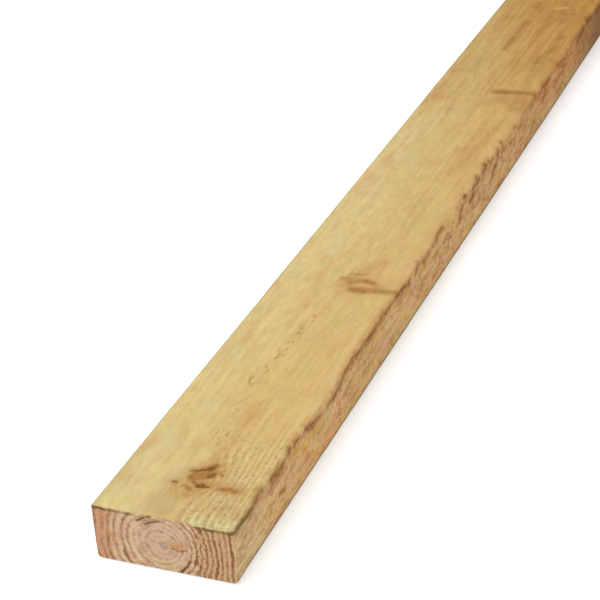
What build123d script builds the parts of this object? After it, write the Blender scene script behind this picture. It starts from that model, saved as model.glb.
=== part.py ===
from build123d import *
import os

# Plain softwood decking board, one length of stock lying flat on its wide face.
# Millimetres. Length along X, width along Y, thickness up Z.
# The origin is on the underside, halfway along the length and the width.

# Stock sizes
board_length = 1829
board_width = 89
board_thickness = 38

# Radius that the planer leaves on the four long arrises; the sawn ends stay square
arris_radius = 3

os.makedirs("parts", exist_ok=True)

# Cross-section drawn on the cut end, then run out to the full length
with BuildPart() as board:
    with BuildSketch(Plane.YZ.offset(-board_length / 2)) as section:
        Rectangle(board_width, board_thickness, align=(Align.CENTER, Align.MIN))
        fillet(section.vertices(), radius=arris_radius)
    extrude(amount=board_length)

board.part.label = "board"
export_step(board.part, "parts/board.step")
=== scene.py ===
import math
from types import SimpleNamespace

import bpy
import numpy as np
from mathutils import Matrix, Vector


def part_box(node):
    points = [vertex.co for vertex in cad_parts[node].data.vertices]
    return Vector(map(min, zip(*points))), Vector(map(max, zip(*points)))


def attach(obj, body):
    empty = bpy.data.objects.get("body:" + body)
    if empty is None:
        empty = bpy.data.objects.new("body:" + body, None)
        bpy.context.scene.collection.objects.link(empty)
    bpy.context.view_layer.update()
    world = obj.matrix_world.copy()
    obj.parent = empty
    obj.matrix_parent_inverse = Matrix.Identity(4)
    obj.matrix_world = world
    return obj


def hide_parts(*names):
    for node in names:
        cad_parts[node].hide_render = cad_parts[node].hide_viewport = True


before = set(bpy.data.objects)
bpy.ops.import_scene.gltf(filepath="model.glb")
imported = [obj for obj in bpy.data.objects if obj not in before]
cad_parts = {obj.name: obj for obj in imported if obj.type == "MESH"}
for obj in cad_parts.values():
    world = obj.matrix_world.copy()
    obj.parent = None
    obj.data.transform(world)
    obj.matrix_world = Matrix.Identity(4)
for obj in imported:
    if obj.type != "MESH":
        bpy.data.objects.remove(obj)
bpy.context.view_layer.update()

# Sizes are in millimetres unless a name says otherwise; Blender's own unit is the metre
MM = 0.001
FAR_AWAY = 1000.0
low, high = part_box("board")
LENGTH = (high.x - low.x) / MM
WIDTH = (high.y - low.y) / MM
THICKNESS = (high.z - low.z) / MM
ARRIS_RADIUS = 3.0

# Wear: the rounding of the sawn ends, the drop of the walking face's lip over the near end, the
# rounding of that end's upright corners, and how much a chip widens the right arris
END_ROUNDING = 0.7
LIP_DROP = 2.0
CORNER_WEAR = 1.4
CHIP_REACH = 6.0

# Depths of what is carved into the surface, which lies a little low so that the relief on it stays
# within the board's size
TEAR_DEPTH = 0.5
SHAKE_DEPTH = 1.4
DARK_MARK_DEPTH = 0.6
BROWN_MARK_DEPTH = 0.15
FLECK_DEPTH = 0.08
SURFACE_SINK = 0.25

# Divisions of each stretch round the section, from the middle of the right side upward: half the
# right side, arris, top, arris, left side, arris, underside, arris, the rest of the right side. The
# finely divided stretch and the one in the photograph reach this far from the near end
SAWN_RING = (22, 5, 120, 5, 44, 5, 120, 5, 22)
FINE_RING = (22, 5, 120, 4, 12, 3, 24, 4, 22)
PLAIN_RING = (9, 4, 62, 3, 10, 3, 20, 3, 9)
FAR_RING = (6, 3, 40, 3, 12, 3, 40, 3, 6)
FINE_REACH = 112.0
SEEN_REACH = 930.0

# Steps of the rings along the board, and rings on each sawn end; the innermost ring of an end is drawn
# in to a slit by this share
FINE_STEP = 0.9
SEEN_STEP = 2.6
HIDDEN_RINGS = 100
NEAR_END_RINGS = 31
FAR_END_RINGS = 14
INNERMOST_RING = 0.97

# Layout of the map that the colours are baked through: the board is cut into lengths, and each is
# unrolled into a strip that opens along the middle of the underside; the sawn ends lie below. The cuts,
# how far short of one a face may begin, and the spare room past a strip are in millimetres; the foot of
# the strips, the margin and the breadth of an end are shares of the map
STRIP_CUTS = (0.0, 450.0, 1000.0, LENGTH)
CUT_SLACK = 0.01
STRIP_SLACK = 12.0
STRIP_FOOT = 0.145
MAP_MARGIN = 0.005
END_SHOWN = 0.30

# A face belongs to a sawn end if its normal points along the board by more than this
END_FACING = 0.7

# Camera, fitted to the edges of the board in a frame of 600 by 600 pixels: its place in metres, angles
# in degrees, lens and sensor in millimetres
CAMERA_PLACE = (-1.638, -0.4079, 0.6249)
CAMERA_HEADING = 23.457
CAMERA_PITCH = 28.864
CAMERA_ROLL = -3.949
CAMERA_LENS = 108.16
CAMERA_SENSOR = 36.0

# Studio, in metres and watts: each light has a place, a size across and a power
LIGHT_TARGET = (-0.5, 0.0, 0.0)
KEY_LIGHT = ((-1.4, 0.9, 3.0), 2.5, 60)
FILL_LIGHT = ((-2.6, -2.0, 1.4), 2.0, 32)
WORLD_LIGHT = 0.55
FLOOR_REACH = 30.0
FLOOR_DROP = 0.5 * MM
FLOOR_PAPER = (0.8, 0.8, 0.8, 1.0)
FLOOR_GLOW = 0.4

# Gloss and fine bump of the wood
ROUGHNESS = 0.84
SPECULAR_LEVEL = 0.1
BUMP_STRENGTH = 0.6
BUMP_DEPTH = 0.6

# Growth: the pith runs near the middle of the section and wanders a little along the board, inside a
# pale core; angles round it are turned into lengths at ARC_RADIUS
PITH_HEIGHT = 17.5
PITH_SWAY = 5.0
PITH_SWAY_LENGTH = 310.0
PITH_RISE = 3.5
PITH_RISE_LENGTH = 230.0
CORE_RADIUS = 16.5
RING_WIDTH = 3.55
RING_LOPSIDED = 0.14
RING_FLATTENING = 0.35
ARC_RADIUS = 24.0

# Rings bulge outward where a branch passes, and less further from it
SWELLING = 7.0
SWELLING_REACH = 9.0

# Shares of a year's ring, each from where it begins and is full to where it fades and ends
LATE_WOOD = (0.15, 0.60, 0.65, 1.0)
EARLY_WOOD = (0.02, 0.15, 0.25, 0.50)

# Stretches that look different, given in the same way: along the board, and across the near end. The third
# is where painted shade darkens the narrow faces far along
FLECKED = (58.0, 75.0, 225.0, 260.0)
TORN_ARRIS = (360.0, 385.0, 470.0, 500.0)
SHADED_STRETCH = (740.0, 870.0, SEEN_REACH, SEEN_REACH + 300.0)
TORN_RINGS = (-13.0, -18.0, -26.0, -31.0)

# The rough-grained patch of the walking face fades out between these distances from the near end
ROUGH_REACH = (120.0, 60.0)

# Branches that the saw cut through: distance of the whorl from the near end, degrees from
# straight up (towards the right side is positive), lean along the board, root radius, flare
BRANCHES = (
    (38.0, 18.8, 0.20, 1.0, 0.30),
    (275.0, 51.0, 0.30, 1.0, 0.15),
    (272.0, -130.0, 0.20, 1.0, 0.16),
    (607.0, 64.0, 0.35, 1.0, 0.19),
    (606.0, -75.0, 0.20, 1.0, 0.18),
    (812.0, 68.0, 0.30, 1.0, 0.14),
    (1090.0, -30.0, 0.25, 1.0, 0.24),
    (1098.0, 150.0, 0.20, 1.0, 0.20),
    (1450.0, 35.0, 0.25, 1.0, 0.22),
    (1460.0, -100.0, 0.20, 1.0, 0.18),
)

# Marks on the walking face, placed after the photograph: each is a half width and a chain of places
# (along, across), and a half width below zero makes a faint mark
DARK_MARKS = (
    (0.4, ((47.0, 2.0), (49.5, -4.0))),
    (0.8, ((49.5, -4.0), (52.0, -7.5))),
    (1.5, ((52.0, -7.5), (55.0, -10.0))),
    (0.9, ((44.5, -10.5), (47.5, -12.5))),
    (0.5, ((36.5, -4.0), (34.5, -8.5))),
    (1.6, ((34.5, -8.5), (35.0, -10.5))),
    (0.3, ((35.0, -10.5), (34.5, -13.5))),
    (-0.3, ((49.5, -14.5), (46.5, -17.5))),
    (0.6, ((34.0, 7.5), (34.5, 6.5))),
)
BROWN_MARKS = (
    (3.4, ((41.5, -2.5), (45.5, -9.0))),
    (2.8, ((46.0, -3.0), (50.5, -8.5))),
    (0.6, ((32.0, 0.0), (29.0, -5.5))),
    (1.4, ((34.0, -22.0), (35.5, -26.5), (34.5, -31.5))),
    (1.8, ((285.5, -9.5), (290.5, -13.5), (291.0, -19.5), (288.5, -24.0))),
    (1.2, ((290.5, -2.0), (292.0, -7.0))),
    (-0.6, ((297.5, -5.5), (300.0, -16.0))),
    (3.0, ((277.0, -14.0), (277.5, -24.0))),
    (2.2, ((277.5, -24.0), (279.5, -34.0), (280.5, -44.0))),
    (3.0, ((634.0, -12.0), (634.5, -20.0))),
    (2.0, ((634.5, -20.0), (635.5, -30.0))),
    (2.8, ((635.5, -30.0), (636.5, -44.0))),
    (0.4, ((702.0, -25.5), (720.0, -25.5))),
    (0.4, ((727.0, -30.5), (746.0, -34.5))),
    (1.0, ((764.0, -33.0), (770.0, -34.0))),
    (0.6, ((730.0, 8.5), (760.0, 9.0))),
    (0.6, ((768.0, 9.0), (800.0, 8.5))),
    (0.4, ((837.0, 10.0), (851.0, 9.0))),
    (-0.4, ((826.0, -18.5), (827.5, -29.5))),
)
PALE_MARKS = (
    (1.8, ((282.0, -14.5), (284.0, -22.0))),
    (2.4, ((292.0, -26.0), (292.5, -29.5))),
    (1.0, ((839.5, -10.0), (841.0, -16.5))),
)
SMUDGES = (
    (3.2, ((27.0, 2.0), (29.0, -6.0))),
    (4.0, ((40.0, -3.0), (50.0, -9.0))),
    (3.0, ((36.0, -14.0), (34.5, -31.0))),
    (-0.5, ((58.0, -8.0), (125.0, -9.0))),
    (3.0, ((283.0, -6.0), (284.0, -26.0))),
    (1.0, ((299.0, -9.0), (318.0, -18.5))),
    (-1.5, ((470.0, -22.0), (560.0, -32.0))),
    (7.0, ((606.0, -39.0), (618.0, -34.0))),
    (1.0, ((634.0, -8.0), (637.0, -46.0))),
    (0.0, ((730.0, 9.0), (860.0, 8.0))),
    (7.0, ((834.0, 4.0), (829.0, -3.0), (823.0, -10.0))),
    (6.0, ((807.0, -10.0), (814.0, -20.0), (807.0, -34.0))),
    (2.0, ((822.0, -30.0), (816.0, -40.0))),
)

# Dark tears on the right side, each a half width and a chain of places (along, up)
SIDE_MARKS = (
    (0.6, ((23.0, 30.5), (25.5, 31.5))),
    (0.2, ((32.0, 35.0), (44.0, 35.5))),
    (0.8, ((57.0, 34.0), (72.0, 33.5))),
    (0.3, ((65.5, 18.0), (73.5, 16.5))),
    (0.8, ((83.0, 35.0), (86.5, 36.5))),
    (0.6, ((92.5, 35.5), (99.5, 35.0))),
    (0.9, ((110.5, 34.5), (122.0, 32.0))),
    (0.6, ((122.0, 32.0), (133.5, 29.5))),
    (0.3, ((114.0, 31.0), (121.0, 29.5))),
    (0.5, ((146.5, 28.5), (158.5, 29.5), (179.5, 34.0))),
    (0.8, ((179.5, 34.0), (202.0, 35.0))),
    (0.5, ((202.0, 35.0), (222.0, 35.0), (251.5, 35.5))),
    (0.4, ((251.5, 35.5), (270.0, 35.0), (288.5, 35.0))),
    (0.8, ((288.5, 35.0), (304.5, 32.5))),
    (0.9, ((319.0, 33.0), (327.5, 35.0))),
    (0.6, ((334.5, 34.0), (341.0, 32.5))),
    (0.5, ((344.5, 33.0), (349.5, 32.0))),
    (0.2, ((357.0, 34.0), (389.0, 35.5))),
    (1.3, ((421.5, 24.5), (427.5, 30.0))),
    (1.8, ((448.5, 26.5), (458.0, 28.0))),
    (0.7, ((437.0, 35.5), (439.0, 36.0))),
    (1.4, ((456.5, 33.0), (472.5, 35.5))),
    (1.6, ((482.5, 33.5), (494.5, 36.5))),
    (1.0, ((500.5, 35.5), (503.0, 35.5))),
    (1.2, ((515.0, 25.5), (519.0, 26.5))),
    (1.2, ((508.5, 23.0), (510.5, 25.0))),
    (0.6, ((523.5, 31.5), (525.5, 34.5))),
    (0.6, ((538.5, 32.5), (539.5, 36.5))),
    (0.8, ((657.5, 34.5), (684.0, 32.5))),
    (0.3, ((711.0, 34.0), (739.5, 30.5))),
    (1.2, ((780.0, 30.0), (804.0, 33.5))),
    (1.6, ((816.0, 35.0), (831.5, 34.0))),
)

# Shakes on the sawn near end, each a half width and a chain of places (across, up)
SHAKES = (
    (0.2, ((16.5, 31.0), (11.1, 34.3), (6.6, 35.8))),
    (0.3, ((10.5, 30.0), (5.8, 32.2), (1.9, 33.5))),
    (0.4, ((-15.6, 10.0), (-12.8, 4.9), (-9.0, 0.5))),
    (0.1, ((-5.0, 16.3), (-9.9, 15.3), (-13.1, 16.5))),
)

# Orange stain beside the pith on the near end, in the same form
STAINS = ((1.2, ((-6.0, 18.5), (-12.5, 19.5))),)


def linear(red, green, blue):
    """A colour written as 0 to 255 display values, as the renderer's linear RGBA."""
    def channel(value):
        value /= 255
        return value / 12.92 if value <= 0.04045 else ((value + 0.055) / 1.055) ** 2.4
    return (channel(red), channel(green), channel(blue), 1.0)


class Field:
    """A number that a node tree works out at every point; arithmetic on it adds Math nodes."""

    def __init__(self, graph, socket):
        self.graph = graph
        self.socket = socket

    def __add__(self, other):
        return self.graph.math("ADD", self, other)

    def __radd__(self, other):
        return self.graph.math("ADD", other, self)

    def __sub__(self, other):
        return self.graph.math("SUBTRACT", self, other)

    def __rsub__(self, other):
        return self.graph.math("SUBTRACT", other, self)

    def __mul__(self, other):
        return self.graph.math("MULTIPLY", self, other)

    def __rmul__(self, other):
        return self.graph.math("MULTIPLY", other, self)

    def __truediv__(self, other):
        return self.graph.math("DIVIDE", self, other)


class Graph:
    """Short words for the nodes that shader trees and geometry trees have in common."""

    def __init__(self, tree):
        self.tree = tree

    def node(self, kind, **settings):
        """A new node with some of its properties set."""
        made = self.tree.nodes.new(kind)
        for name, value in settings.items():
            setattr(made, name, value)
        return made

    def feed(self, socket, value):
        """Links a field or another socket to an input, or writes a plain value into it."""
        if isinstance(value, Field):
            value = value.socket
        if isinstance(value, bpy.types.NodeSocket):
            self.tree.links.new(value, socket)
        else:
            socket.default_value = value

    def math(self, operation, *values):
        made = self.node("ShaderNodeMath", operation=operation)
        for socket, value in zip(made.inputs, values):
            self.feed(socket, value)
        return Field(self, made.outputs[0])

    def smallest(self, first, *others):
        for other in others:
            first = self.math("MINIMUM", first, other)
        return first

    def largest(self, first, *others):
        for other in others:
            first = self.math("MAXIMUM", first, other)
        return first

    def ramp(self, value, start, stop):
        """0 at start, 1 at stop, smooth between; start may be the larger one."""
        made = self.node("ShaderNodeMapRange", interpolation_type="SMOOTHSTEP")
        self.feed(made.inputs["Value"], value)
        self.feed(made.inputs["From Min"], start)
        self.feed(made.inputs["From Max"], stop)
        return Field(self, made.outputs["Result"])

    def between(self, value, start, full, fading, stop):
        """1 over a stretch, going smoothly to 0 before and after it."""
        return self.ramp(value, start, full) * self.ramp(value, stop, fading)

    def split(self, vector):
        """The three numbers of a vector, as fields."""
        made = self.node("ShaderNodeSeparateXYZ")
        self.feed(made.inputs[0], vector)
        return [Field(self, socket) for socket in made.outputs]

    def noise(self, x, y, z, detail=2.0, roughness=0.5):
        """Smooth noise about zero, mostly within plus or minus one half."""
        made = self.node("ShaderNodeTexNoise")
        self.feed(made.inputs["Vector"], self.vector(x, y, z))
        self.feed(made.inputs["Scale"], 1.0)
        self.feed(made.inputs["Detail"], detail)
        self.feed(made.inputs["Roughness"], roughness)
        return Field(self, made.outputs[0]) - 0.5

    def white_noise(self, value):
        """A random number from 0 to 1 that belongs to a value."""
        made = self.node("ShaderNodeTexWhiteNoise", noise_dimensions="1D")
        self.feed(made.inputs["W"], value)
        return Field(self, made.outputs["Value"])

    def mix(self, share, first, second):
        """One colour going over into another by a share from 0 to 1."""
        made = self.node("ShaderNodeMix", data_type="RGBA")
        colours = [socket for socket in made.inputs if socket.type == "RGBA"]
        self.feed(made.inputs["Factor"], share)
        self.feed(colours[0], first)
        self.feed(colours[1], second)
        return [socket for socket in made.outputs if socket.type == "RGBA"][0]

    def vector(self, x, y, z=0.0):
        made = self.node("ShaderNodeCombineXYZ")
        for socket, value in zip(made.inputs, (x, y, z)):
            self.feed(socket, value)
        return made.outputs[0]

    def vector_math(self, operation, *values):
        """The node itself, because its operations answer on different outputs."""
        made = self.node("ShaderNodeVectorMath", operation=operation)
        for socket, value in zip(made.inputs, values):
            self.feed(socket, value)
        return made

    def run_distance(self, point, start, stop):
        """Distance of a point in a plane from the straight run between two places."""
        run = Vector((*stop, 0.0)) - Vector((*start, 0.0))
        away = self.vector_math("SUBTRACT", point, (*start, 0.0)).outputs["Vector"]
        share = self.vector_math("DOT_PRODUCT", away, run / run.length_squared).outputs["Value"]
        share = self.smallest(self.largest(share, 0.0), 1.0)
        nearest = self.vector_math("SCALE", run)
        self.feed(nearest.inputs["Scale"], share)
        apart = self.vector_math("DISTANCE", away, nearest.outputs["Vector"])
        return Field(self, apart.outputs["Value"])

    def marks_edge(self, point, marks):
        """Distance outside the nearest of several drawn marks; negative within one."""
        nearest = FAR_AWAY
        for half_width, places in marks:
            for start, stop in zip(places, places[1:]):
                nearest = self.smallest(self.run_distance(point, start, stop) - half_width, nearest)
        return nearest


def pith_offset(along, sine):
    """Sideways and upward place of the pith; sine is a function of a number or of a field."""
    sideways = PITH_SWAY * sine(along / PITH_SWAY_LENGTH)
    upward = PITH_HEIGHT + PITH_RISE * sine(along / PITH_RISE_LENGTH)
    return sideways, upward


# In the functions below, g is the Graph of a node tree and f holds the fields worked out so far


def branch_edge(g, f, branch):
    """Distance outside a branch that grows from the pith as a cone; negative within it."""
    start, turn, lean, root, flare = branch
    start_y, start_z = pith_offset(start, math.sin)
    heading = Vector((lean, -math.sin(math.radians(turn)), math.cos(math.radians(turn)))).normalized()
    away = g.vector_math("SUBTRACT", f.point, (start, start_y, start_z)).outputs["Vector"]
    out = Field(g, g.vector_math("DOT_PRODUCT", away, heading).outputs["Value"])
    length = Field(g, g.vector_math("LENGTH", away).outputs["Value"])
    off_axis = g.math("SQRT", g.largest(length * length - out * out, 0.0))

    # The cone has no twin on the other side of the pith
    behind = g.ramp(out, 3.0, 0.0) * 60.0
    return off_axis - root - out * flare + behind


def worn_edge(g, first, second, radius):
    """How far an edge between two faces is worn back to a rounding, given the depth under each."""
    a = g.largest(radius - first, 0.0)
    b = g.largest(radius - second, 0.0)
    return g.largest(g.math("SQRT", a * a + b * b) - radius, 0.0)


def face_fields(g, f):
    """Depth under each face, and the face that a point belongs to."""
    f.from_end = g.smallest(f.along, LENGTH - f.along)
    f.from_top = THICKNESS - f.up
    f.from_flat = g.smallest(f.from_top, f.up)
    f.from_side = WIDTH / 2 - g.math("ABSOLUTE", f.across)
    f.right = g.ramp(f.across, 10.0, -10.0)
    f.near = g.ramp(f.along, LENGTH * 0.6, LENGTH * 0.4)
    f.on_top = g.ramp(f.from_top, 6.0, 3.0)
    f.on_right = g.ramp(f.from_side, 6.0, 2.0) * f.right

    # The half of the length that the photograph doesn't show is less brown
    f.paler = 1.0 - g.ramp(f.along, SEEN_REACH, SEEN_REACH + 400.0) * 0.65

    # The narrow faces meet the wide ones along a wandering line
    wiggle = g.noise(f.along / 13.0, f.across / 20.0, f.up / 20.0, detail=3.0) * 3.0
    f.side = g.ramp(f.from_flat - f.from_side * 0.5 + wiggle, 0.6, 2.4)

    # The walking face rolls over the near end as a lip, lower on the right
    ragged = g.noise(f.along / 9.0, f.across / 6.0, 8.8, detail=3.0) * 2.2
    f.lip = LIP_DROP + g.ramp(f.across, -12.0, -24.0) + ragged
    under_lip = g.smallest(f.from_top - f.lip, f.up, f.from_side)
    f.end = g.ramp(under_lip * 0.7 + 0.6 - f.from_end, -0.4, 0.4)

    # The part of the near end, right of the core, where the saw left the rings torn
    f.messy = g.between(f.across, *TORN_RINGS) * f.near


def growth_fields(g, f):
    """Branches, and growth rings round the pith, wider to the left and bent round the branches."""
    ragged = g.noise(f.along / 7.0, f.across / 5.0, f.up / 5.0, detail=2.0) * 4.0
    nearest = FAR_AWAY
    for branch in BRANCHES:
        nearest = g.smallest(branch_edge(g, f, branch), nearest)
    f.knot_edge = nearest + ragged

    # Where the photograph shows the walking face, its knots are drawn as marks instead
    drawn = f.on_top * g.ramp(f.along, SEEN_REACH + 40.0, SEEN_REACH)
    shown = 1.0 - drawn * 0.8
    f.knot = g.ramp(f.knot_edge, 1.2, -1.2) * shown
    f.knot_rim = g.ramp(g.math("ABSOLUTE", f.knot_edge), 1.5, 0.2) * shown
    f.knot_halo = g.ramp(f.knot_edge, 15.0, 0.0)
    fading = g.math("EXPONENT", g.largest(f.knot_edge, 0.0) * (-1 / SWELLING_REACH))
    swelling = fading * SWELLING

    pith_y, pith_z = pith_offset(f.along, lambda value: g.math("SINE", value))
    off_y = f.across - pith_y
    off_z = f.up - pith_z
    flattened = off_z * (1.0 - g.ramp(g.math("ABSOLUTE", off_y), 12.0, 40.0) * RING_FLATTENING)
    wobble = g.noise(f.along / 170.0, f.across / 16.0, f.up / 16.0, detail=2.0) * 4.0
    f.radius = g.math("SQRT", off_y * off_y + flattened * flattened) + wobble
    f.grown = f.radius - off_y * RING_LOPSIDED - swelling
    f.arc = g.math("ARCTAN2", off_y, off_z) * ARC_RADIUS
    f.core = g.ramp(f.radius, CORE_RADIUS + 0.6, CORE_RADIUS - 0.6)

    front = g.ramp(f.along, *ROUGH_REACH) * (1.0 - f.end)
    uneven = 0.25 + f.end * (0.35 + f.messy * 0.75) + front * 0.6
    jagged = g.noise(f.along / 6.0, f.across / 2.8, f.up / 2.8 + 4.4, detail=2.0) * uneven
    count = f.grown / RING_WIDTH + jagged
    season = g.math("FRACT", count)
    f.year = g.white_noise(g.math("FLOOR", count))
    f.late = g.between(season, *LATE_WOOD)
    f.early = g.between(season, *EARLY_WOOD)


def texture_fields(g, f):
    """Noise of several sizes; streaks and fibres follow the rings, so they bend round the knots."""
    f.streak = g.noise(f.along / 150.0, f.grown / 3.2, f.arc / 3.2, detail=3.0)
    f.fibre = g.noise(f.along / 26.0, f.grown / 0.9, f.arc / 0.9, detail=2.0, roughness=0.6)
    f.cloud = g.noise(f.along / 95.0, f.across / 22.0, f.up / 22.0 + 7.3, detail=3.0)
    f.mottle = g.noise(f.along / 24.0, f.across / 7.0 + 3.1, f.up / 7.0, detail=3.0, roughness=0.6)
    f.fuzz = g.noise(f.along / 9.0, f.across / 3.0, f.up / 3.0 + 6.1, detail=3.0, roughness=0.75)
    f.blotch = g.noise(f.along / 15.0, f.across / 8.0, f.up / 6.5 + 2.7, detail=4.0, roughness=0.65)
    f.patch = g.noise(f.along / 20.0, f.across / 9.0, f.up / 8.0 + 5.2, detail=1.0)
    f.tint = g.noise(f.along / 42.0, f.across / 20.0, f.up / 14.0 + 9.4, detail=2.0, roughness=0.6)
    f.crumb = g.noise(f.along / 3.0, f.across / 2.4, f.up / 2.4 + 1.9, detail=3.0, roughness=0.65)
    f.grit = g.noise(f.along / 1.7, f.across / 1.1, f.up / 1.1, detail=2.0)
    f.hair = g.noise(f.along / 20.0, f.across / 0.9, f.up / 0.9, detail=2.0, roughness=0.6)

    # The rough-grained patch of the walking face by the near end and the first knot
    reach = g.ramp(f.along + f.cloud * 60.0, *ROUGH_REACH)
    sideways = g.ramp(f.across + f.cloud * 20.0, 2.0, -12.0)
    f.rough = reach * sideways * g.ramp(f.from_top, 8.0, 4.0)
    f.broken = g.ramp(g.noise(f.along / 3.6, f.grown / 2.8, 1.7, detail=2.0), -0.08, 0.14)


def top_marks(g, f):
    """Marks drawn on the walking face, with wandering outlines that are softer further along."""
    place = g.vector(f.along + f.crumb * 3.0 + f.fuzz * 3.0, f.across + f.crumb * 3.0 + f.mottle * 3.0)
    dark_edge = g.marks_edge(place, DARK_MARKS)
    f.dark_mark = g.ramp(dark_edge, 1.8, -0.6) * f.on_top * (0.6 + g.ramp(f.crumb, -0.1, 0.1) * 0.4)
    f.dark_halo = g.ramp(dark_edge, 5.0, 0.0) * f.on_top
    brown_edge = g.marks_edge(place, BROWN_MARKS)
    beyond = g.ramp(f.along, 120.0, 280.0)
    blurred = 1.0 + beyond * 0.7 + g.ramp(f.along, 350.0, 800.0) * 0.5
    uneven = (0.65 + g.ramp(f.fuzz, -0.15, 0.15) * 0.35) * (1.0 - beyond * 0.15)
    f.brown_mark = g.ramp(brown_edge, blurred * 2.4, blurred * -1.2) * f.on_top * uneven
    pale_edge = g.marks_edge(place, PALE_MARKS) + f.fuzz * 4.0
    f.pale_mark = g.ramp(pale_edge, blurred * 2.4, -1.2) * f.on_top
    smudge_edge = g.marks_edge(place, SMUDGES) + f.mottle * 10.0
    f.smudge = g.ramp(smudge_edge, 9.0, -2.0) * f.on_top


def flecks(g, f):
    """A row of small flecks along the middle of the walking face."""
    row = g.ramp(g.math("ABSOLUTE", f.across - 1.5 + f.cloud * 30.0), 6.0, 1.0)
    stretch = g.between(f.along, *FLECKED) * f.on_top
    spots = g.noise(f.along / 6.5, f.across / 3.4, 9.9, detail=1.0) + f.patch * 0.4
    f.fleck = row * stretch * g.ramp(spots, -0.02, 0.26)


def end_shakes(g, f):
    """Cracks drawn on the sawn near end."""
    shake_edge = g.marks_edge(g.vector(f.across, f.up), SHAKES) + f.crumb * 3.2
    f.shake = g.ramp(shake_edge, 1.0, -0.5) * g.ramp(f.along, 6.0, 3.0)


def chipped_arris(g, f):
    """Chips in the right arris of the walking face, most where the photograph shows it torn."""
    worst = g.between(f.along, *TORN_ARRIS)
    chipped = g.noise(f.along / 48.0, f.across / 30.0, f.up / 30.0 + 3.9, detail=3.5, roughness=0.55)
    f.chip = g.ramp(chipped + worst * 0.09, 0.0, 0.24) * f.right * f.near
    f.chip_depth = worn_edge(g, f.from_top, f.from_side, ARRIS_RADIUS + f.chip * CHIP_REACH)
    f.bare = g.ramp(f.chip_depth, 0.15, 0.7) * f.chip


def side_tears(g, f):
    """Dark tears along the grain of the right side: those in the photograph, and weaker ones."""
    place = g.vector(f.along + f.crumb * 5.0 + f.fuzz * 6.0, f.up + f.crumb * 3.0 + f.mottle * 3.0)
    side_edge = g.marks_edge(place, SIDE_MARKS) + f.fuzz * 4.0
    slanted = f.up - f.along * 0.15
    torn = g.noise(f.along / 12.0, slanted / 2.4, f.across / 9.0 + 11.7, detail=4.0, roughness=0.65)
    seen = g.ramp(side_edge, 3.0, -1.4) * (0.42 + g.ramp(torn, -0.14, 0.12) * 0.58) * f.on_right
    crowd = g.ramp(f.from_top + f.mottle * 10.0, 18.0, 5.0) * (0.08 + f.tint * 0.4)
    f.tear = g.largest(seen, g.ramp(torn + crowd, 0.08, 0.34) * f.side * f.right * 0.65)
    f.side_halo = g.ramp(side_edge, 7.0, 0.0) * f.on_right


def lip_shadow(g, f):
    """Dark line under the lip of the walking face, at the near end and round its right corner."""
    depth = g.math("ABSOLUTE", f.from_top - f.lip - 0.6)
    broken = 0.40 + g.ramp(g.noise(f.along / 9.0, f.across / 9.0, 2.2), -0.15, 0.15) * 0.60
    outer = g.largest(g.ramp(f.across, 12.0, 24.0), g.ramp(f.across, -14.0, -26.0))
    at_end = g.ramp(f.from_end, 2.6, 1.6) * (0.25 + outer * 0.75)
    at_side = g.ramp(f.from_side, 2.6, 1.6) * g.ramp(f.along, 34.0, 22.0) * f.right
    line = g.ramp(depth, 1.5 + f.on_right * 0.8, 0.3)
    f.lip_line = line * g.largest(at_end, at_side) * g.largest(broken, f.on_right) * f.near


def wood_fields(g, position):
    """Where a point lies in the board and in the tree, shared by the relief and the colours."""
    x, y, z = g.split(position)
    f = SimpleNamespace()
    f.along = x * (1 / MM) + LENGTH / 2
    f.across = y * (1 / MM)
    f.up = z * (1 / MM)
    f.point = g.vector(f.along, f.across, f.up)
    face_fields(g, f)
    growth_fields(g, f)
    texture_fields(g, f)
    for add_marks in (top_marks, flecks, end_shakes, chipped_arris, side_tears, lip_shadow):
        add_marks(g, f)
    return f


def relief(g, f):
    """Height of the surface above the plain board, in millimetres."""
    broad = g.noise(f.along / 210.0, f.across / 30.0, f.up / 30.0 + 4.0) * 0.4
    ridges = f.late * (0.04 + f.rough * f.broken * 0.20)
    long_grain = f.streak * 0.30 + f.fuzz * 0.25 + ridges + broad
    knots = f.knot * 0.25 - f.knot_rim * 0.25
    marks = f.dark_mark * -DARK_MARK_DEPTH + f.brown_mark * -BROWN_MARK_DEPTH + f.fleck * -FLECK_DEPTH
    torn = f.tear * -TEAR_DEPTH + f.bare * f.crumb
    faces = long_grain + knots + marks + torn + f.side * (f.blotch * 0.8 + f.crumb * 0.5)
    inside = g.ramp(g.smallest(f.from_flat, f.from_side), 0.3, 3.0)
    sawn = (f.late * 0.15 * (1.0 - f.core * 0.6) + f.crumb * 0.9) * inside - f.shake * SHAKE_DEPTH
    corner = CORNER_WEAR + g.ramp(f.from_top, 16.0, 3.0) * f.right * 2.0
    worn = worn_edge(g, f.from_end, f.from_top, f.lip) + worn_edge(g, f.from_end, f.from_side, corner)
    return faces + (sawn - faces) * f.end - worn - f.chip_depth - SURFACE_SINK


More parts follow.
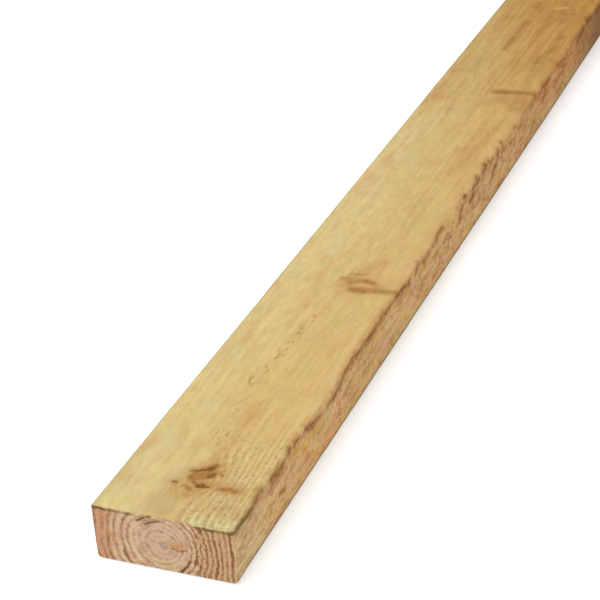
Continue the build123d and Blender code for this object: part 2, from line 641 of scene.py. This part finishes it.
def section_ring(divisions):
    """Points round the section and their distance round it, from the middle of the right side upward."""
    half_width = WIDTH / 2
    half_height = THICKNESS / 2
    flat = half_width - ARRIS_RADIUS
    rise = half_height - ARRIS_RADIUS

    def straight(start, stop):
        start, stop = np.array(start), np.array(stop)
        return np.linalg.norm(stop - start), lambda t: start + (stop - start) * t[:, None]

    def quarter(centre, first_angle):
        def points(t):
            angle = first_angle - t * math.pi / 2
            return np.array(centre) + ARRIS_RADIUS * np.column_stack((np.cos(angle), np.sin(angle)))
        return ARRIS_RADIUS * math.pi / 2, points

    stretches = (
        straight((-half_width, 0.0), (-half_width, rise)),
        quarter((-flat, rise), math.pi),
        straight((-flat, half_height), (flat, half_height)),
        quarter((flat, rise), math.pi / 2),
        straight((half_width, rise), (half_width, -rise)),
        quarter((flat, -rise), 0.0),
        straight((flat, -half_height), (-flat, -half_height)),
        quarter((-flat, -rise), -math.pi / 2),
        straight((-half_width, -rise), (-half_width, 0.0)),
    )
    points, places, gone = [], [], 0.0
    for (length, curve), count in zip(stretches, divisions, strict=True):
        t = np.arange(count) / count
        points.append(curve(t))
        places.append(gone + t * length)
        gone += length
    return np.concatenate(points), np.concatenate(places)


def ring_points(divisions, inset, along):
    """One ring of points in the board's frame, drawn in towards the middle line by a share."""
    ring, places = section_ring(divisions)
    half_height = THICKNESS / 2
    reach = WIDTH / 2 - half_height
    spine = np.column_stack((np.clip(ring[:, 0], -reach, reach), np.zeros(len(ring))))
    ring = ring + (spine - ring) * inset
    points = np.column_stack((np.full(len(ring), along - LENGTH / 2), ring[:, 0], ring[:, 1] + half_height))
    return points * MM, places


def end_rings(count):
    """Inset share and distance from the end of each ring on a sawn end, from its middle outward."""
    half_height = THICKNESS / 2
    shares = np.linspace(INNERMOST_RING, END_ROUNDING / half_height, count, endpoint=False)
    flat_part = [(share, 0.0) for share in shares]
    rounded = [(END_ROUNDING * (1 - math.cos(a)) / half_height, END_ROUNDING * (1 - math.sin(a)))
               for a in np.radians((90, 60, 30))]
    return flat_part + rounded


def board_rings():
    """Every ring of the board from the middle of the near end to the middle of the far end."""
    fine = np.arange(END_ROUNDING, FINE_REACH, FINE_STEP)
    seen = np.arange(FINE_REACH, SEEN_REACH, SEEN_STEP)
    hidden = np.linspace(SEEN_REACH, LENGTH - END_ROUNDING, HIDDEN_RINGS)
    rings = [(SAWN_RING, inset, away) for inset, away in end_rings(NEAR_END_RINGS)]
    rings += [(FINE_RING, 0.0, along) for along in fine]
    rings += [(PLAIN_RING, 0.0, along) for along in np.concatenate((seen, hidden))]
    rings += [(FAR_RING, inset, LENGTH - away) for inset, away in reversed(end_rings(FAR_END_RINGS))]
    return rings


def stitched(first_start, first_places, second_start, second_places):
    """Faces between two neighbouring rings, which may have different numbers of points."""
    first_count, second_count = len(first_places), len(second_places)
    if first_count == second_count:
        i = np.arange(first_count)
        j = (i + 1) % first_count
        corners = (first_start + i, second_start + i, second_start + j, first_start + j)
        return np.stack(corners, axis=-1).tolist()
    around = 2 * (WIDTH + THICKNESS)
    first_ends = np.append(first_places[1:], around)
    second_ends = np.append(second_places[1:], around)
    faces = []
    i = j = 0
    while i < first_count or j < second_count:
        a, b = first_start + i % first_count, second_start + j % second_count
        if j == second_count or (i < first_count and first_ends[i] <= second_ends[j]):
            i += 1
            faces.append([a, b, first_start + i % first_count])
        else:
            j += 1
            faces.append([a, b, second_start + j % second_count])
    return faces


def closing(start, around, turned):
    """Faces across the slit that the innermost ring of an end leaves, above and below its middle."""
    faces = []
    for i in range(around // 2):
        corners = list(dict.fromkeys((i, i + 1, around - i - 1, (around - i) % around)))
        faces.append([start + corner for corner in (reversed(corners) if turned else corners)])
    return faces


def board_mesh():
    """The plain board as one closed mesh, finest at the end that the photograph shows."""
    vertices, faces, around = [], [], []
    start = last_start = 0
    last_places = None
    for divisions, inset, along in board_rings():
        points, places = ring_points(divisions, inset, along)
        vertices.append(points)
        around.append(places)
        if last_places is None:
            faces += closing(start, len(places), turned=False)
        else:
            faces += stitched(last_start, last_places, start, places)
        last_start, last_places = start, places
        start += len(places)
    faces += closing(last_start, len(last_places), turned=True)

    mesh = bpy.data.meshes.new("board")
    mesh.from_pydata(np.concatenate(vertices).tolist(), [], faces)
    mesh.validate()
    mesh.shade_smooth()
    lay_out(mesh, np.concatenate(around))
    return mesh


def values_of(items, name, kind, width=1):
    """One value, or one row of values, for each item of a mesh."""
    found = np.empty(len(items) * width, kind)
    items.foreach_get(name, found)
    return found.reshape(-1, width) if width > 1 else found


def lay_out(mesh, around):
    """The map for the bake, from each point's distance round the section."""
    corner = values_of(mesh.loops, "vertex_index", np.int32)
    first = values_of(mesh.polygons, "loop_start", np.int32)
    face = np.repeat(np.arange(len(first)), values_of(mesh.polygons, "loop_total", np.int32))
    facing = np.abs(values_of(mesh.polygons, "normal", np.float32, 3)[face, 0])
    x, y, z = (values_of(mesh.vertices, "co", np.float32, 3)[corner] / MM).T
    along = x + LENGTH / 2

    # The strip opens three quarters of the way round from the middle of the right side, and the faces
    # across that opening keep together past its end
    perimeter = 2 * (WIDTH + THICKNESS) - (8 - 2 * math.pi) * ARRIS_RADIUS
    opening = perimeter * 3 / 4
    round_it = (around[corner] - opening) % perimeter
    widest = np.maximum.reduceat(round_it, first)[face]
    round_it = np.where(widest - round_it > perimeter / 2, round_it + perimeter, round_it)

    cuts = np.array(STRIP_CUTS)
    strip = np.searchsorted(cuts[1:-1], np.minimum.reduceat(along, first)[face] + CUT_SLACK)
    share = 1 / (len(cuts) - 1)
    u = (strip + 1) * share - MAP_MARGIN - round_it / (perimeter + STRIP_SLACK) * (share - MAP_MARGIN)
    v = (along - cuts[strip]) / (cuts[strip + 1] - cuts[strip] + STRIP_SLACK)
    v = STRIP_FOOT + v * (1 - STRIP_FOOT)

    on_end = facing > END_FACING
    far_end = along > LENGTH / 2
    outward = np.where(far_end, y, -y)
    end_u = MAP_MARGIN * 2 + far_end * (END_SHOWN + MAP_MARGIN * 4) + (outward / WIDTH + 0.5) * END_SHOWN
    end_v = MAP_MARGIN * 2 + z / WIDTH * END_SHOWN
    spots = np.column_stack((np.where(on_end, end_u, u), np.where(on_end, end_v, v)))
    mesh.uv_layers.new(name="OFBake").uv.foreach_set("vector", spots.astype(np.float32).ravel())


def relief_tree():
    """Geometry nodes that push every point out along its normal by the relief."""
    tree = bpy.data.node_groups.new("board_relief", "GeometryNodeTree")
    tree.interface.new_socket("Geometry", in_out="INPUT", socket_type="NodeSocketGeometry")
    tree.interface.new_socket("Geometry", in_out="OUTPUT", socket_type="NodeSocketGeometry")
    g = Graph(tree)
    position = g.node("GeometryNodeInputPosition").outputs[0]
    normal = g.node("GeometryNodeInputNormal").outputs[0]
    height = relief(g, wood_fields(g, position)) * MM
    offset = g.vector_math("SCALE", normal)
    g.feed(offset.inputs["Scale"], height)
    move = g.node("GeometryNodeSetPosition")
    g.feed(move.inputs["Geometry"], g.node("NodeGroupInput").outputs[0])
    g.feed(move.inputs["Offset"], offset.outputs[0])
    g.feed(g.node("NodeGroupOutput").inputs[0], move.outputs[0])
    return tree


def carve(piece):
    """Works the relief into the mesh itself."""
    modifier = piece.modifiers.new("relief", "NODES")
    modifier.node_group = relief_tree()
    seen = piece.evaluated_get(bpy.context.evaluated_depsgraph_get())
    carved = bpy.data.meshes.new_from_object(seen)
    piece.modifiers.clear()
    piece.data = carved


def face_patches(g, f, far):
    """Broad patches of colour on the wide faces, browner with distance and greener by the near end."""
    pale = linear(225, 203, 141)
    straw = linear(220, 190, 124)
    blush = linear(220, 178, 122)
    green = linear(212, 202, 146)
    honey = linear(196, 146, 75)
    tan = linear(190, 152, 100)
    right = g.ramp(f.across + f.cloud * 60.0, 32.0, -20.0)
    greenish = g.ramp(f.along + f.mottle * 90.0, 110.0, 0.0) * g.ramp(f.cloud + f.mottle, -0.25, 0.25)
    colour = g.mix(right, pale, straw)
    colour = g.mix(g.ramp(f.patch + f.cloud, -0.05, 0.35) * 0.75, colour, blush)
    colour = g.mix(g.ramp(f.blotch - f.patch, 0.05, 0.40) * 0.6, colour, green)
    colour = g.mix(far, colour, honey)
    lip = g.ramp(f.along + f.mottle * 12.0, 12.0, 4.0) * g.ramp(f.across + f.mottle * 10.0, -10.0, -18.0)
    colour = g.mix(g.largest(greenish * 0.6, lip * 0.9), colour, green)
    front = g.ramp(f.along + f.mottle * 20.0, 36.0, 16.0) * g.ramp(f.across + f.mottle * 20.0, 24.0, 4.0)
    return g.mix(front * (1.0 - lip) * 0.35, colour, tan)


def face_colour(g, f):
    """Colour of the wide faces."""
    light = linear(232, 218, 168)
    peach = linear(226, 182, 132)
    brown = linear(146, 102, 50)
    edge_olive = linear(138, 122, 72)
    far = g.ramp(f.along + f.cloud * 260.0 - f.across * 1.5, 400.0, 950.0) * f.paler
    colour = face_patches(g, f, far)

    # Pale dimples of the rough patch, and the worn fringe of the right arris
    dimples = g.ramp(f.crumb * -1.0, 0.02, 0.20)
    colour = g.mix(f.rough * g.largest(f.early * f.broken * 0.50, dimples * 0.45), colour, light)
    fringe = g.ramp(f.from_side + f.mottle * 10.0, 6.5, 2.0) * f.right * g.ramp(f.along, 120.0, 180.0)
    colour = g.mix(fringe * (1.0 - far) * 0.40, colour, peach)

    # Grain, the darker olive along the left arris, and the flecks
    streaks = f.streak * (0.30 + far * 1.3)
    grain = streaks + f.fuzz * 0.45 + f.fibre * 0.15 + f.mottle * (0.35 + far * 0.7) + f.blotch * 0.20
    lines = f.late * (0.04 + f.rough * (0.06 + f.broken * 0.30)) + f.rough * f.crumb * 0.40
    colour = g.mix(grain + lines + 0.13, colour, brown)
    left_arris = g.ramp(f.from_side, 3.0, 0.6) * g.ramp(f.across, -10.0, 10.0)
    colour = g.mix(left_arris * (0.35 + far * 0.35), colour, edge_olive)
    return g.mix(f.fleck * 0.55, colour, brown)


def side_patches(g, f):
    """Broad patches of colour on the two narrow faces."""
    tan = linear(220, 186, 132)
    gold = linear(226, 184, 100)
    pink = linear(226, 170, 130)
    rust = linear(216, 146, 80)
    olive = linear(202, 172, 112)
    rose = linear(232, 168, 114)
    amber = linear(216, 148, 64)
    colour = g.mix(g.ramp(f.patch, -0.05, 0.22), tan, gold)
    colour = g.mix(g.ramp(f.tint + f.mottle * 0.3, -0.05, 0.20) * 0.85, colour, pink)
    colour = g.mix(g.ramp(f.blotch - f.tint * 0.8, 0.02, 0.32) * 0.85, colour, rust)
    colour = g.mix(g.ramp(f.cloud + f.patch * 0.5, 0.02, 0.22) * 0.6, colour, olive)
    colour = g.mix(g.ramp(f.cloud * -1.0 - f.patch * 0.5, 0.02, 0.22) * 0.5, colour, rose)
    return g.mix(g.ramp(f.fuzz - f.mottle * 0.4, 0.06, 0.24) * 0.6, colour, amber)


def side_colour(g, f):
    """Colour of the two narrow faces, browner and more mottled than the wide ones."""
    tawny = linear(206, 138, 74)
    sand = linear(222, 196, 144)
    far_shade = linear(116, 84, 52)
    shade = linear(146, 106, 62)
    dark = linear(138, 80, 26)
    light = linear(238, 206, 158)
    grey_shade = linear(92, 92, 70)
    far = g.ramp(f.along + f.tint * 160.0, 400.0, 860.0) * f.paler
    close = g.ramp(f.along + f.mottle * 40.0, 60.0, 10.0)
    colour = g.mix(far * 0.75, side_patches(g, f), tawny)
    colour = g.mix(g.largest(close * 0.75, far * g.ramp(f.up, 20.0, 8.0) * 0.5), colour, sand)
    # Painted shade that darkens the narrow faces over a stretch far along
    colour = g.mix(g.between(f.along, *SHADED_STRETCH) * 0.72, colour, far_shade)

    # Painted shade under the lip, streaks, pale spots as painted highlights, a grey foot of painted shade
    # and dirt
    under_lip = g.ramp(f.from_top + f.mottle * 6.0, 14.0, 5.0) * g.ramp(f.along, 110.0, 40.0)
    colour = g.mix(under_lip * 0.32, colour, shade)
    streaks = f.streak * 0.5 + f.fuzz * 1.3 + f.mottle * 1.2 + f.crumb * 1.2
    stronger = 1.0 + g.ramp(f.along, 240.0, 420.0) * 0.4
    colour = g.mix(streaks * stronger + 0.16 + far * 0.02, colour, dark)
    # Pale spots painted as highlights
    colour = g.mix(g.ramp(f.crumb * -1.0 - f.mottle * 0.6, 0.10, 0.40) * 0.6, colour, light)
    # Painted shade, with some dirt, along the lower edge of the narrow faces
    foot_shade = g.ramp(f.up + f.mottle * 3.0, 4.8, 2.4)
    return g.mix(foot_shade * 0.66, colour, grey_shade)


def end_colour(g, f):
    """Colour of the sawn ends: a pinkish core and broken dark rings outside it."""
    light = linear(228, 196, 158)
    red = linear(210, 152, 116)
    sandy = linear(204, 162, 114)
    core = linear(216, 182, 154)
    cream = linear(222, 198, 150)
    dark = linear(142, 96, 64)
    speck_highlight = linear(242, 216, 176)
    orange = linear(204, 152, 94)
    pith = linear(166, 150, 140)
    ray = g.noise(f.arc / 1.1, f.radius / 9.0, 3.3, detail=2.0)
    broken = g.ramp(g.noise(f.arc / 6.0, f.radius / 2.8, 1.4, detail=3.0), -0.20, 0.14)
    left = g.ramp(f.across + f.mottle * 14.0, 28.0, 38.0) * f.near
    right = g.ramp(f.across + f.mottle * 10.0, -16.0, -24.0)
    colour = g.mix(g.ramp(f.mottle + f.crumb * 0.4, -0.10, 0.25) * 0.7, light, red)
    colour = g.mix(left * 0.8, colour, red)
    colour = g.mix(right * 0.65, colour, sandy)
    colour = g.mix(f.core * 0.8, colour, core)
    colour = g.mix(f.core * g.ramp(f.up + f.mottle * 12.0, 13.0, 5.0) * 0.8, colour, cream)
    colour = g.mix(g.ramp(f.radius, 3.6, 1.0) * 0.6, colour, pith)

    # Rings, quieter in the core and broader on the right, then the pale specks painted as highlights, and
    # the stain
    edge_of_core = g.ramp(g.math("ABSOLUTE", f.radius - CORE_RADIUS), 2.2, 0.4)
    quiet = 1.0 - f.core * 0.50
    strength = (0.25 + broken * 0.50 + right * 0.25) * quiet * (0.65 + f.year * 0.6)
    broad = f.late + (g.ramp(f.late, 0.0, 0.7) - f.late) * right * 0.7
    rings = broad * strength + edge_of_core * broken * 0.25
    coarse = f.crumb * (0.8 + f.messy) + f.blotch * (0.8 + f.core * 0.6)
    colour = g.mix(rings + coarse + ray * 0.3, colour, dark)
    colour = g.mix(g.ramp(f.grit + f.crumb * 1.5, 0.10, 0.40) * (1.0 - f.core) * 0.4, colour, speck_highlight)
    stain_edge = g.marks_edge(g.vector(f.across, f.up), STAINS) + f.crumb * 5.0 + f.mottle * 4.0
    return g.mix(g.ramp(stain_edge, 3.6, -1.6) * f.near * 0.8, colour, orange)


def knot_colour(g, f, colour):
    """Branches, their dark outline and the browner wood about them."""
    halo = linear(194, 150, 92)
    wood = linear(186, 140, 86)
    line = linear(118, 80, 40)
    colour = g.mix(f.knot_halo * (0.30 + f.mottle * 0.8), colour, halo)
    rings = g.ramp(g.math("FRACT", f.knot_edge / 1.9), 0.3, 0.9)
    colour = g.mix(f.knot * (0.60 + f.crumb), colour, wood)
    colour = g.mix(f.knot * rings * 0.3, colour, line)
    return g.mix(f.knot_rim * (0.25 + f.crumb * 1.5), colour, line)


def mark_colour(g, f, colour):
    """Brown and dark marks of the walking face, the chipped right arris and the tears below it."""
    smudge = linear(186, 134, 76)
    pale = linear(216, 168, 116)
    brown = linear(148, 96, 38)
    halo = linear(172, 126, 72)
    dark = linear(106, 66, 10)
    fresh = linear(208, 154, 110)
    chip = linear(150, 98, 54)
    tear_halo = linear(176, 112, 48)
    tear = linear(122, 62, 0)
    colour = g.mix(f.smudge * (0.50 + f.fuzz * 1.5), colour, smudge)
    colour = g.mix(f.pale_mark * 0.7, colour, pale)
    colour = g.mix(f.brown_mark * (0.84 + f.crumb), colour, brown)
    colour = g.mix(f.dark_halo * (0.40 + f.crumb), colour, halo)
    colour = g.mix(f.dark_mark * 0.9, colour, dark)
    bare = g.mix(g.ramp(f.crumb, -0.12, 0.12), fresh, chip)
    colour = g.mix(f.bare * 0.7, colour, bare)
    colour = g.mix(f.side_halo * (0.28 + f.crumb), colour, tear_halo)
    return g.mix(f.tear * 0.90, colour, tear)


def wood_colour(g, f):
    """Colour of the whole board: its faces, then what is on them, then the sawn ends."""
    crack = linear(96, 66, 36)
    lip_shade = linear(104, 86, 34)
    colour = g.mix(f.side, face_colour(g, f), side_colour(g, f))
    colour = mark_colour(g, f, knot_colour(g, f, colour))
    colour = g.mix(f.end, colour, end_colour(g, f))
    colour = g.mix(f.shake * 0.85, colour, crack)
    return g.mix(f.lip_line * 0.85, colour, lip_shade)


def wood_material():
    """Dry, unsealed wood: its colours, with the pores and hairs of the surface as bump."""
    material = bpy.data.materials.new("treated_softwood")
    material.use_nodes = True
    tree = material.node_tree
    tree.nodes.clear()
    g = Graph(tree)
    f = wood_fields(g, g.node("ShaderNodeTexCoord").outputs["Object"])

    bump = g.node("ShaderNodeBump")
    g.feed(bump.inputs["Strength"], BUMP_STRENGTH)
    g.feed(bump.inputs["Distance"], BUMP_DEPTH * MM)
    g.feed(bump.inputs["Height"], f.grit + f.hair * 1.5)

    shader = g.node("ShaderNodeBsdfPrincipled")
    shader.inputs["Specular IOR Level"].default_value = SPECULAR_LEVEL
    g.feed(shader.inputs["Base Color"], wood_colour(g, f))
    g.feed(shader.inputs["Roughness"], ROUGHNESS - f.late * 0.10 - f.knot * 0.12)
    g.feed(shader.inputs["Normal"], bump.outputs[0])
    g.feed(g.node("ShaderNodeOutputMaterial").inputs["Surface"], shader.outputs[0])
    return material


def make_board():
    """The one piece of the object, in place of the CAD node."""
    board = bpy.data.objects.new("decking_board", board_mesh())
    bpy.context.scene.collection.objects.link(board)
    carve(board)
    board.data.materials.append(wood_material())
    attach(board, "root")
    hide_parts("board")


def seen_directly(g):
    """1 where the camera sees a surface, straight or in a reflection or through glass."""
    path = g.node("ShaderNodeLightPath")
    kinds = ("Is Camera Ray", "Is Glossy Ray", "Is Transmission Ray")
    return g.largest(*[Field(g, path.outputs[kind]) for kind in kinds])


def floor_material():
    """White paper floor: it renders white in the open and keeps the shadow under the board."""
    material = bpy.data.materials.new("white_floor")
    material.use_nodes = True
    tree = material.node_tree
    tree.nodes.clear()
    g = Graph(tree)
    paper = g.node("ShaderNodeBsdfDiffuse")
    paper.inputs["Color"].default_value = FLOOR_PAPER
    glow = g.node("ShaderNodeEmission")
    g.feed(glow.inputs["Strength"], seen_directly(g) * FLOOR_GLOW)
    both = g.node("ShaderNodeAddShader")
    g.feed(both.inputs[0], paper.outputs[0])
    g.feed(both.inputs[1], glow.outputs[0])
    g.feed(g.node("ShaderNodeOutputMaterial").inputs["Surface"], both.outputs[0])
    return material


def make_floor():
    """A level floor, just clear of the relief on the underside."""
    reach = FLOOR_REACH
    corners = [(-reach, -reach, 0), (reach, -reach, 0), (reach, reach, 0), (-reach, reach, 0)]
    mesh = bpy.data.meshes.new("floor")
    mesh.from_pydata(corners, [], [(0, 1, 2, 3)])
    mesh.materials.append(floor_material())
    floor = bpy.data.objects.new("floor", mesh)
    floor.location.z = -FLOOR_DROP
    bpy.context.scene.collection.objects.link(floor)


def make_world():
    """Even white light all round, and a white backdrop."""
    world = bpy.data.worlds.new("studio")
    bpy.context.scene.world = world
    world.use_nodes = True
    tree = world.node_tree
    tree.nodes.clear()
    g = Graph(tree)
    light = g.node("ShaderNodeBackground")
    seen = seen_directly(g)
    g.feed(light.inputs["Strength"], seen + (1.0 - seen) * WORLD_LIGHT)
    g.feed(g.node("ShaderNodeOutputWorld").inputs["Surface"], light.outputs[0])


def make_light(name, place, size, watts):
    """A round soft light that faces the part of the board in the photograph."""
    lamp = bpy.data.lights.new(name, "AREA")
    lamp.shape = "DISK"
    lamp.size = size
    lamp.energy = watts
    light = bpy.data.objects.new(name, lamp)
    light.location = place
    light.rotation_euler = (Vector(LIGHT_TARGET) - Vector(place)).to_track_quat("-Z", "Y").to_euler()
    bpy.context.scene.collection.objects.link(light)


def make_camera():
    """A camera that looks along its heading, down by its pitch, and is rolled about its own line."""
    heading = math.radians(CAMERA_HEADING)
    pitch = math.radians(CAMERA_PITCH)
    level = math.cos(pitch)
    look = Vector((level * math.cos(heading), level * math.sin(heading), -math.sin(pitch)))
    turn = look.to_track_quat("-Z", "Y").to_matrix().to_4x4()
    roll = Matrix.Rotation(math.radians(CAMERA_ROLL), 4, "Z")
    data = bpy.data.cameras.new("camera")
    data.lens = CAMERA_LENS
    data.sensor_width = CAMERA_SENSOR
    camera = bpy.data.objects.new("camera", data)
    camera.matrix_world = Matrix.Translation(CAMERA_PLACE) @ turn @ roll
    bpy.context.scene.collection.objects.link(camera)
    bpy.context.scene.camera = camera


bpy.context.scene.view_settings.view_transform = "Standard"
make_board()
make_floor()
make_world()
make_light("key", *KEY_LIGHT)
make_light("fill", *FILL_LIGHT)
make_camera()
